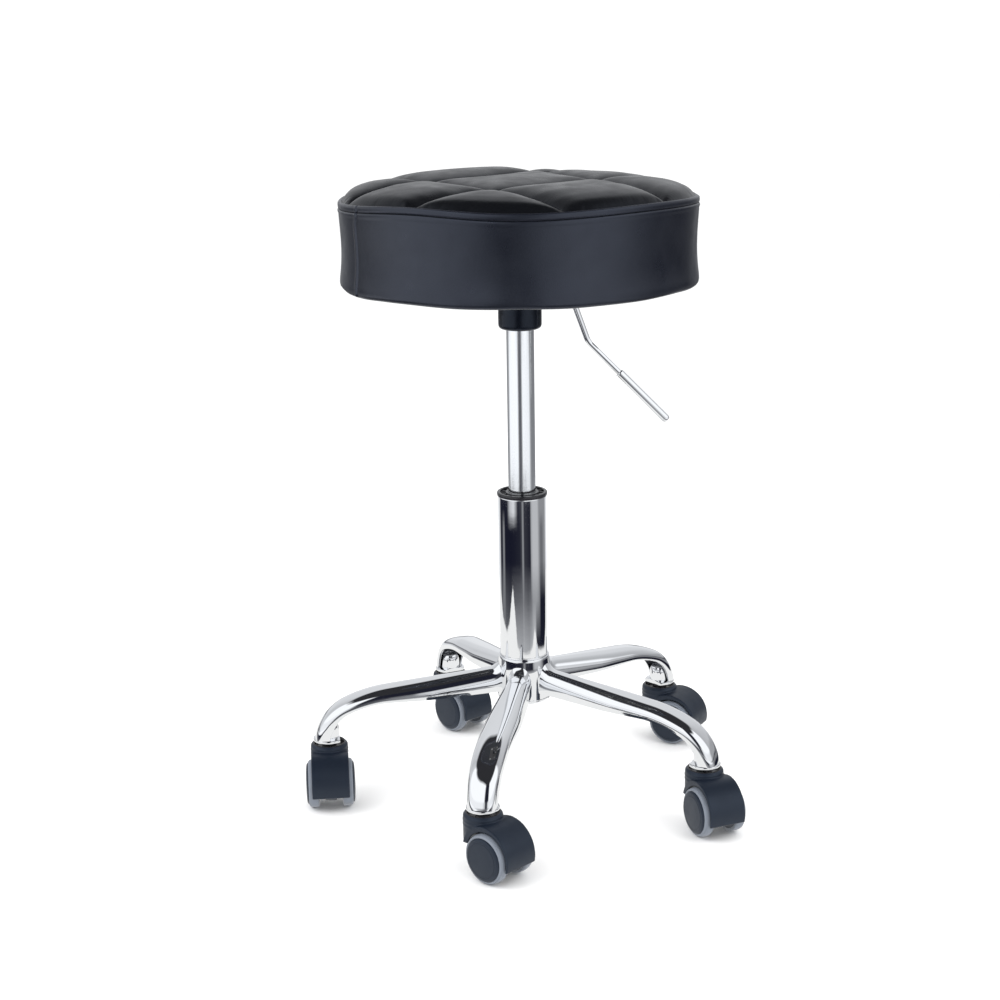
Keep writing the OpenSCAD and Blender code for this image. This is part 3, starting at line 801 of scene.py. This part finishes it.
def quilt_panel():
    """A flat-cut top panel laid over the crown, with its rim and seams marked as held."""
    rim_count = int(TAU * PANEL_R / PANEL_STEP)
    points = [(PANEL_R * math.cos(a), PANEL_R * math.sin(a))
              for a in np.linspace(0, TAU, rim_count, endpoint=False)]
    for line in seam_points():
        points += [tuple(p) for p in line]
    rows = int(2 * PANEL_R / (PANEL_STEP * 0.866)) + 2
    grid = []
    for k in range(rows):
        y = -PANEL_R + k * PANEL_STEP * 0.866
        for m in range(int(2 * PANEL_R / PANEL_STEP) + 2):
            grid.append((-PANEL_R + (m + 0.5 * (k % 2)) * PANEL_STEP, y))
    grid = np.array(grid)
    keep = (np.hypot(grid[:, 0], grid[:, 1]) < PANEL_R - 0.55 * PANEL_STEP)
    keep &= seam_distance(grid) > SEAM_GAP
    points += [tuple(p) for p in grid[keep]]
    result = delaunay_2d_cdt([Vector(p) for p in points], [], [], 0, 0.05)
    xy = np.array([tuple(v) for v in result[0]])
    near = (seam_distance(xy) < 0.3) | (np.hypot(xy[:, 0], xy[:, 1]) > PANEL_R - 0.3)
    z = seam_height(xy) + pillow_lift(xy)
    verts = [(p[0], p[1], h) for p, h in zip(xy, z)]
    return verts, [tuple(f) for f in result[2]], near


def puff(obj, held, pressure, frames, stiffness):
    """Lets air push a held sheet up as cloth, and keeps the result."""
    group = obj.vertex_groups.new(name="held")
    group.add([int(i) for i in np.nonzero(held)[0]], 1.0, "REPLACE")
    cloth = obj.modifiers.new("cloth", "CLOTH")
    s = cloth.settings
    s.quality = 6
    s.mass = 0.25
    s.tension_stiffness = stiffness
    s.compression_stiffness = stiffness
    s.shear_stiffness = stiffness * 0.6
    s.bending_stiffness = 12.0
    s.use_pressure = True
    s.uniform_pressure_force = pressure
    s.vertex_group_mass = "held"
    s.effector_weights.gravity = 0.0
    cloth.collision_settings.use_collision = False
    scene = bpy.context.scene
    cloth.point_cache.frame_start = 1
    cloth.point_cache.frame_end = frames
    for number in range(1, frames + 1):
        scene.frame_set(number)
        bpy.context.view_layer.update()
    return apply_modifiers(obj)


def quilted_top():
    """The quilted panel's mesh: puffed up between its seams, then given sewn channels."""
    verts, faces, held = quilt_panel()
    mesh = as_sheet("quilt_panel", (verts, faces))
    flat = coords(mesh)
    obj = added("quilt_panel", mesh)
    mesh = puff(obj, held, 4.0, 20, 40.0)
    swollen = coords(mesh)
    move = swollen - flat
    far = np.linalg.norm(move, axis=1)
    cap = 14 * MM
    swollen = flat + move * (np.minimum(far, cap) / np.maximum(far, 1e-9))[:, None]
    set_coords(mesh, swollen)
    top = coords(obj.data)
    top[:, 2] = np.minimum(top[:, 2], TOP_LIMIT * MM)
    set_coords(obj.data, top)
    coarse = obj.data.copy()
    smooth = obj.modifiers.new("smooth", "SUBSURF")
    smooth.levels = smooth.render_levels = 2
    mesh = apply_modifiers(obj)
    bpy.data.objects.remove(obj)
    fine = coords(mesh)
    away = seam_distance(fine[:, :2] / MM)
    rim = np.clip((PANEL_R - np.hypot(fine[:, 0], fine[:, 1]) / MM) / 14, 0, 1)
    channel = 1.5 * np.exp(-(away / 1.6) ** 2) + 0.8 * np.exp(-(away / 5.0) ** 2)
    fine[:, 2] -= channel * (0.25 + 0.75 * rim) * MM
    set_coords(mesh, fine)
    return mesh, coarse


FOAM_DROP = 2.6
FOAM_R = 172.5
FOAM_BOTTOM = 557.2
FOAM_TAPER_R = 150


def foam_mesh(mesh):
    """Foam under the cover: the quilt's own relief, lowered, with a wall and a flat base."""
    work = bmesh.new()
    work.from_mesh(mesh)
    for v in work.verts:
        v.co.z -= FOAM_DROP * MM
        outside = max(0, math.hypot(v.co.x, v.co.y) / MM - FOAM_TAPER_R)
        narrowing = 1 - (1 - FOAM_R / PANEL_R) * outside / (PANEL_R - FOAM_TAPER_R)
        v.co.x *= narrowing
        v.co.y *= narrowing
    edge = [e for e in work.edges if e.is_boundary]
    down = bmesh.ops.extrude_edge_only(work, edges=edge)["geom"]
    for v in down:
        if isinstance(v, bmesh.types.BMVert):
            v.co.z = FOAM_BOTTOM * MM
    rim = [e for e in work.edges if e.is_boundary]
    bmesh.ops.contextual_create(work, geom=rim)
    bmesh.ops.recalc_face_normals(work, faces=work.faces)
    work.to_mesh(mesh)
    work.free()
    return mesh


SEAM_TURN = 209.4


def seam_lean(z):
    """How far the side seam runs off to one side near the top fold."""
    return 5.0 * np.clip((z - 608) / 14, 0, 1) ** 1.5


def band_shape():
    """The side band: a folded top edge, a hollow side, wavy lower edge and a turned-under hem."""
    profile = [(174.6, 625.9), (175.2, 627.2), (176.0, 627.9), (176.7, 628.0), (177.2, 627.6),
               (177.5, 626.9), (177.65, 625.5), (177.65, 624.2), (177.4, 623.2), (176.9, 622.5),
               (176.6, 622.0), (176.9, 621.5), (177.6, 620.9), (178.0, 619.8)]
    for z in np.linspace(617.5, 552, 34):
        profile.append((band_radius(z), z))
    profile += [(177.9, 549.5), (178.0, 547.4), (177.7, 545.6), (176.8, 544.3), (175.2, 543.6),
                (172.5, 543.3), (168, 543.25), (162, 543.3), (156, 543.35), (151.5, 543.5)]
    profile = np.array(profile)
    rows = 900
    phases = random.uniform(0, TAU, 14)
    r, z = profile.T
    low = np.clip((600 - z) / 56, 0, 1) ** 2
    hem = 2.2 * np.clip((562 - z) / 18, 0, 1)
    raised = np.clip((z - 585) / 35, 0, 1)
    dented = np.where(z < 624, 1.0, 0.5) * ((r >= 176) | (z >= 545))
    verts = []
    for k in range(rows):
        a = TAU * k / rows
        wave = sum(math.sin(n * a + phases[n]) / n for n in (5, 7, 9, 11, 13))
        pull = sum(math.sin(n * 3 * a + phases[n]) for n in (6, 7, 8, 10)) / 4
        seam = math.radians(math.degrees(a) - SEAM_TURN) * SEAT_R - seam_lean(z)
        fold = 0.7 * np.exp(-((seam + 3.0) / 2.2) ** 2) - 1.6 * np.exp(-seam ** 2)
        out = r + 0.35 * pull * low + dented * fold + 0.12 * wave
        up = z + wave * hem + rim_lift(math.cos(a), math.sin(a)) * raised
        verts += list(zip(out * math.cos(a), out * math.sin(a), up))
    return verts, ring_faces(rows, len(profile), True, False)


def stitch(length, thick):
    """One sewn stitch along X: a short thread that dives into the cover at both ends."""
    path = [(length * (t - 0.5), 0, thick * (1.1 * math.sin(math.pi * t) - 0.6))
            for t in np.linspace(0, 1, 7)]
    return sweep(path, thick, 8)


def stitches_shape():
    """Thread round the top fold and down the side seam."""
    shapes = []
    one = stitch(2.6, 0.36)
    pitch = 4.2
    count = int(TAU * SEAT_R / pitch)
    for row_r, row_z in ((177.25, 622.0), (177.5, 626.9)):
        for k in range(count):
            a = 360 * k / count
            rise = float(rim_lift(math.cos(math.radians(a)), math.sin(math.radians(a))))
            lie = shifted(row_r, 0, row_z + rise) @ turned(90, "Y") @ turned(90, "Z")
            shapes.append(moved(one, turned(a) @ lie))
    for z in np.arange(552, 606, pitch):
        lie = turned(SEAM_TURN) @ turned(0.9) @ shifted(band_radius(z) + 0.05, 0, z)
        shapes.append(moved(one, lie @ turned(90, "Y")))
    return joined(*shapes)


def band_radius(z):
    """The band's radius at a height: it pulls in between its two edges."""
    t = np.clip((z - 552) / 66, 0, 1)
    return 177.2 + 0.5 * (1 - t) - 1.9 * math.sin(math.pi * t ** 0.8) ** 1.2


def dust_cover_shape():
    """Thin fabric under the board: pulled in gathers at its edge, slack in the middle."""
    radii = [0.0, 20, 40, 60, 80, 100, 115, 128, 138, 146, 150.5, 154, 158, 160, 160.4, 158, 154, 146,
             120, 60, 0.0]
    heights = [544.4, 544.3, 544.2, 544.2, 544.1, 543.9, 543.7, 543.5, 543.3, 543.1, 543.0, 542.95,
               542.95, 543.0, 543.25, 543.3, 543.3, 543.6, 544.6, 544.8, 544.9]
    rows = 360
    phases = random.uniform(0, TAU, 40)
    verts = []
    for k in range(rows):
        a = TAU * k / rows
        gather = sum(math.sin(n * a + phases[n]) for n in (17, 23, 31, 37)) / 4
        for r, z in zip(radii, heights):
            near = np.clip((r - 90) / 60, 0, 1)
            verts.append(((r + 1.2 * near * gather) * math.cos(a), (r + 1.2 * near * gather) * math.sin(a),
                          z + 0.25 * near * gather))
    return verts, ring_faces(rows, len(radii), True, False)


STAPLES = 44
STAPLE_R = 156.5


def staples_shape():
    """Wire staples through the hem of the dust cover."""
    shapes = []
    legs = [(0, -5, 543.4), (0, -5, 542.6), (0, -4.6, 542.3), (0, 4.6, 542.3), (0, 5, 542.6),
            (0, 5, 543.4)]
    for k in range(STAPLES):
        wire = []
        for p in legs:
            for dx, dz in ((-0.6, -0.25), (0.6, -0.25), (0.6, 0.25), (-0.6, 0.25)):
                wire.append((p[0] + dx, p[1], p[2] + dz))
        faces = ring_faces(len(legs), 4, False, True) + [(0, 1, 2, 3), (23, 22, 21, 20)]
        tilt = float(random.uniform(-14, 14))
        place = turned(360 * k / STAPLES + tilt / 9) @ shifted(STAPLE_R, 0, 0) @ turned(tilt)
        shapes.append(moved((wire, faces), place))
    return joined(*shapes)


def skinned(obj, thickness):
    """Gives a sheet a thickness, inward."""
    skin = obj.modifiers.new("skin", "SOLIDIFY")
    skin.thickness = thickness * MM
    skin.offset = -1


def build_seat():
    quilt, coarse = quilted_top()
    quilt.materials.append(SHADED_TOP_VINYL)
    top = piece("seat_quilted_top", quilt, "seat", "black_vinyl", ["cover_top_panel"], None, 180)
    skinned(top, 1.2)
    piece("seat_foam", foam_mesh(coarse), "seat", "foam", ["foam_pad"])
    band = as_sheet("seat_side_band", band_shape())
    band = piece("seat_side_band", band, "seat", "black_vinyl", ["cover_side_band"], None, 180)
    skinned(band, 0.9)
    thread = as_mesh("seat_stitching", stitches_shape())
    thread.materials.append(SHADED_THREAD)
    piece("seat_stitching", thread, "seat", "black_vinyl")
    dust_cover = as_sheet("seat_dust_fabric", dust_cover_shape())
    piece("seat_dust_fabric", dust_cover, "seat", "dust_fabric", ["dust_cover"], None, 60)
    piece("seat_staples", staples_shape(), "seat", "zinc_steel")


# ---------------------------------------------------------------- stage

def ramp(paint, factor, stops):
    """A ramp over azimuth, from (degrees, brightness) stops. Its dark tones are a little blue."""
    node = paint.add("ShaderNodeValToRGB", Fac=factor)
    elements = node.color_ramp.elements
    while len(elements) > 1:
        elements.remove(elements[0])
    for k, (degrees, tone) in enumerate(stops):
        place = (degrees + 180) / 360
        element = elements[0] if k == 0 else elements.new(place)
        element.position = place
        element.color = (tone * 0.97, tone * 0.985 + 0.001, tone + 0.012, 1)
    return node.outputs["Color"]


# Sign that makes the camera's own depth axis point back toward it
VIEW_BACK = -1.0


class Studio(Paint):
    """Shader nodes that tell where a reflection looks, with the camera's own side as azimuth 0."""

    def __init__(self, tree):
        self.tree = tree

    def math(self, operation, a, b=0.0):
        node = self.add("ShaderNodeMath", operation=operation)
        for socket, value in zip(node.inputs, (a, b)):
            self.feed(socket, value)
        return node.outputs[0]

    def azimuth(self, direction):
        """0 to 1 round the stool: 0.5 is toward the camera and 0.75 is to its right."""
        split = self.add("ShaderNodeSeparateXYZ", Vector=direction)
        level = self.add("ShaderNodeCombineXYZ", X=split.outputs["X"], Y=split.outputs["Y"])
        turned_view = self.add("ShaderNodeVectorTransform", vector_type="VECTOR", convert_from="WORLD",
                               convert_to="CAMERA")
        self.tree.links.new(level.outputs[0], turned_view.inputs[0])
        seen = self.add("ShaderNodeSeparateXYZ", Vector=turned_view.outputs[0])
        back = self.math("MULTIPLY", seen.outputs["Z"], VIEW_BACK)
        angle = self.math("ARCTAN2", seen.outputs["X"], back)
        return self.math("ADD", self.math("DIVIDE", angle, TAU), 0.5), split

    def step(self, value, start, end):
        return self.spread(value, 0.0, 1.0, start, end)


# Brightness of the painted reflection the floor glows with in reflections only, by azimuth, in rings
# outward, and where its white middle ends (metres)
FLOOR_EDGE = [
    (-180, 0.82), (-134, 0.72), (-114, 0.6), (-88, 0.55), (-72, 0.59), (-52, 0.76), (-42, 0.64),
    (-32, 0.5), (-14, 0.475), (8, 0.47), (28, 0.475), (42, 0.5), (54, 0.57), (61, 0.53), (66, 0.485),
    (88, 0.477), (114, 0.477), (126, 0.56), (136, 0.82), (180, 0.82),
]
FLOOR_NEAR = [
    (-180, 0.9), (-138, 0.85), (-125, 0.2), (-100, 0.16), (-84, 0.14), (-60, 0.1), (-44, 0.45),
    (-32, 0.42), (-4, 0.4), (0, 0.46), (8, 0.42), (28, 0.38), (40, 0.45), (54, 0.6), (60, 0.5),
    (64, 0.012), (126, 0.012), (134, 0.6), (146, 0.95), (180, 0.9),
]
FLOOR_MID = [
    (-180, 0.9), (-138, 0.85), (-124, 0.08), (-108, 0.22), (-98, 0.2), (-90, 0.08), (-62, 0.05),
    (-46, 0.13), (-20, 0.15), (-4, 0.18), (0, 0.26), (5, 0.18), (24, 0.13), (38, 0.18), (48, 0.34),
    (66, 0.36), (82, 0.26), (90, 0.012), (124, 0.012), (134, 0.65), (146, 0.95), (180, 0.9),
]
FLOOR_DARK = [
    (-180, 0.9), (-138, 0.85), (-124, 0.02), (-110, 0.03), (-106, 0.24), (-98, 0.24), (-92, 0.012),
    (-60, 0.01), (-38, 0.013), (-14, 0.02), (-5, 0.06), (-2, 0.27), (3, 0.27), (7, 0.04), (20, 0.03),
    (36, 0.014), (42, 0.42), (50, 0.55), (74, 0.55), (84, 0.3), (92, 0.17), (104, 0.17), (116, 0.28),
    (126, 0.3), (138, 0.8), (146, 0.95), (180, 0.9),
]
FLOOR_OUTER = [
    (-180, 0.9), (-138, 0.85), (-124, 0.02), (-92, 0.012), (-77, 0.02), (-62, 0.6), (-44, 0.8),
    (-24, 0.02), (-5, 0.06), (-2, 0.27), (3, 0.27), (7, 0.04), (20, 0.03), (36, 0.014), (42, 0.42),
    (50, 0.55), (74, 0.55), (84, 0.3), (126, 0.3), (138, 0.8), (146, 0.95), (180, 0.9),
]
FLOOR_FAR = [
    (-180, 0.4), (-150, 0.22), (-118, 0.4), (-108, 1.05), (-30, 1.08), (-23, 0.35), (-17, 0.12),
    (0, 0.12), (6, 0.45), (12, 1.05), (70, 0.95), (80, 0.4), (94, 0.22), (150, 0.22), (180, 0.4),
]
HORIZON = [
    (-180, 0.6), (-150, 0.5), (-136, 0.12), (-112, 0.1), (-98, 0.5), (-80, 1.3), (-60, 1.25),
    (-42, 1.0), (-25, 0.5), (-13, 0.17), (0, 0.14), (10, 0.3), (25, 0.95), (42, 1.25), (58, 0.9),
    (74, 0.35), (90, 0.06), (125, 0.03), (138, 0.1), (150, 0.4), (180, 0.6),
]
# The distances (metres) between which each ring takes over from the one inside it
FLOOR_RINGS = [(0.5, 0.68, FLOOR_MID), (0.68, 0.86, FLOOR_DARK), (1.05, 1.16, FLOOR_OUTER),
               (1.24, 1.28, FLOOR_FAR), (3.0, 3.3, HORIZON)]
# Brightness of the walls, low down and at the height of the lamps, and where the dark ceiling starts
WALL_LOW = [
    (-180, 0.9), (-130, 0.7), (-112, 0.75), (-95, 1.0), (-20, 1.0), (-10, 0.6), (-6, 0.05), (5, 0.05),
    (9, 0.6), (20, 1.0), (75, 0.9), (92, 0.4), (130, 0.4), (150, 0.8), (180, 0.9),
]
WALL_HIGH = [
    (-180, 0.8), (-150, 0.75), (-125, 0.6), (-108, 0.7), (-100, 1.15), (-14, 1.15), (-9, 0.015),
    (14, 0.015), (19, 1.15), (88, 1.15), (98, 0.5), (125, 0.6), (150, 0.75), (180, 0.8),
]
CEILING_START = [(-180, 44), (-90, 60), (-40, 54), (0, 46), (40, 54), (90, 60), (180, 44)]
CEILING = rgb(0.03, 0.03, 0.034)


def sine(degrees):
    return math.sin(math.radians(degrees))


def build_world():
    """A bright studio seen in reflections, and plain white light for everything else."""
    world = bpy.data.worlds.new("studio")
    bpy.context.scene.world = world
    world.use_nodes = True
    s = Studio(world.node_tree)
    direction = s.add("ShaderNodeTexCoord").outputs["Generated"]
    turn, split = s.azimuth(direction)
    height = split.outputs["Z"]
    walls = s.mix(s.step(height, sine(-1), sine(2)), ramp(s, turn, HORIZON), ramp(s, turn, WALL_LOW))
    walls = s.mix(s.step(height, sine(11), sine(16)), walls, ramp(s, turn, WALL_HIGH))
    above = s.math("SUBTRACT", height, ramp(s, turn, [(a, sine(e)) for a, e in CEILING_START]))
    room = s.mix(s.step(above, -0.02, 0.04), walls, CEILING)
    ray = s.add("ShaderNodeLightPath")
    plain = 1.1
    seen = s.mix(ray.outputs["Is Glossy Ray"], rgb(plain, plain, plain), room)
    out = world.node_tree.nodes["Background"]
    s.tree.links.new(seen, out.inputs["Color"])
    out.inputs["Strength"].default_value = 1.0


def build_floor():
    """A white floor. In reflections only, it glows with a painted reflection of a darker studio floor
    beyond its white middle.
    """
    paint = bpy.data.materials.new("studio_floor")
    paint.use_nodes = True
    s = Studio(paint.node_tree)
    spot = s.add("ShaderNodeNewGeometry").outputs["Position"]
    turn, split = s.azimuth(spot)
    far = s.math("SQRT", s.math("ADD", s.math("MULTIPLY", split.outputs["X"], split.outputs["X"]),
                                s.math("MULTIPLY", split.outputs["Y"], split.outputs["Y"])))
    beyond = s.math("SUBTRACT", far, ramp(s, turn, FLOOR_EDGE))
    tone = ramp(s, turn, FLOOR_NEAR)
    for start, end, table in FLOOR_RINGS:
        tone = s.mix(s.step(far, start, end), tone, ramp(s, turn, table))
    tone = s.mix(s.step(beyond, -0.006, 0.012), rgb(0.97, 0.97, 0.96), tone)
    # Painted reflection: glossy rays see the floor glow with these tones instead of its white matte
    # surface.
    painted_reflection = s.add("ShaderNodeEmission", Color=tone)
    grain = s.mix(s.noise(30.0, 2.0, spot), rgb(0.93, 0.93, 0.93), rgb(0.96, 0.96, 0.96))
    matte = paint.node_tree.nodes["Principled BSDF"]
    s.tree.links.new(grain, matte.inputs["Base Color"])
    matte.inputs["Roughness"].default_value = 0.9
    matte.inputs["Specular IOR Level"].default_value = 0.1
    ray = s.add("ShaderNodeLightPath")
    both = s.add("ShaderNodeMixShader")
    s.tree.links.new(ray.outputs["Is Glossy Ray"], both.inputs[0])
    s.tree.links.new(matte.outputs[0], both.inputs[1])
    s.tree.links.new(painted_reflection.outputs[0], both.inputs[2])
    out = paint.node_tree.nodes["Material Output"]
    s.tree.links.new(both.outputs[0], out.inputs["Surface"])
    size = 6.0
    mesh = bpy.data.meshes.new("floor")
    corners = [(x * size, y * size, 0) for x, y in ((-1, -1), (1, -1), (1, 1), (-1, 1))]
    mesh.from_pydata(corners, [], [(0, 1, 2, 3)])
    mesh.materials.append(paint)
    floor = added("floor", mesh)
    floor.location.z = -0.2 * MM


def softbox(name, azimuth, elevation, distance, size, power):
    """A large square lamp aimed at the stool."""
    lamp = bpy.data.lights.new(name, "AREA")
    lamp.shape = "SQUARE"
    lamp.size = size
    lamp.energy = power
    obj = added(name, lamp)
    a, e = math.radians(azimuth), math.radians(elevation)
    away = Vector((math.sin(a) * math.cos(e), -math.cos(a) * math.cos(e), math.sin(e)))
    obj.location = Vector((0, 0, 0.35)) + away * distance
    obj.rotation_euler = away.to_track_quat("Z", "Y").to_euler()
    obj.visible_glossy = False
    obj.visible_camera = False


def build_camera():
    camera = bpy.data.cameras.new("camera")
    camera.lens = 68.6
    camera.sensor_width = 36.0
    obj = added("camera", camera)
    place = shifted(0, -1.8986, 0.8235)
    turn = 0.69
    tilt_down = 14.94
    roll = 0.89
    obj.matrix_world = place @ turned(turn) @ turned(90 - tilt_down, "X") @ turned(-roll)
    bpy.context.scene.camera = obj


# ---------------------------------------------------------------- all together

paint_cad_nodes()
build_base()
build_column()
build_lever()
build_casters()
build_seat()
build_world()
build_floor()
softbox("lamp_left", -65, 40, 2.4, 1.6, 26)
softbox("lamp_right", 60, 40, 2.4, 1.6, 22)
softbox("lamp_top", 180, 75, 2.2, 1.8, 14)
build_camera()
bpy.context.scene.view_settings.view_transform = "Standard"
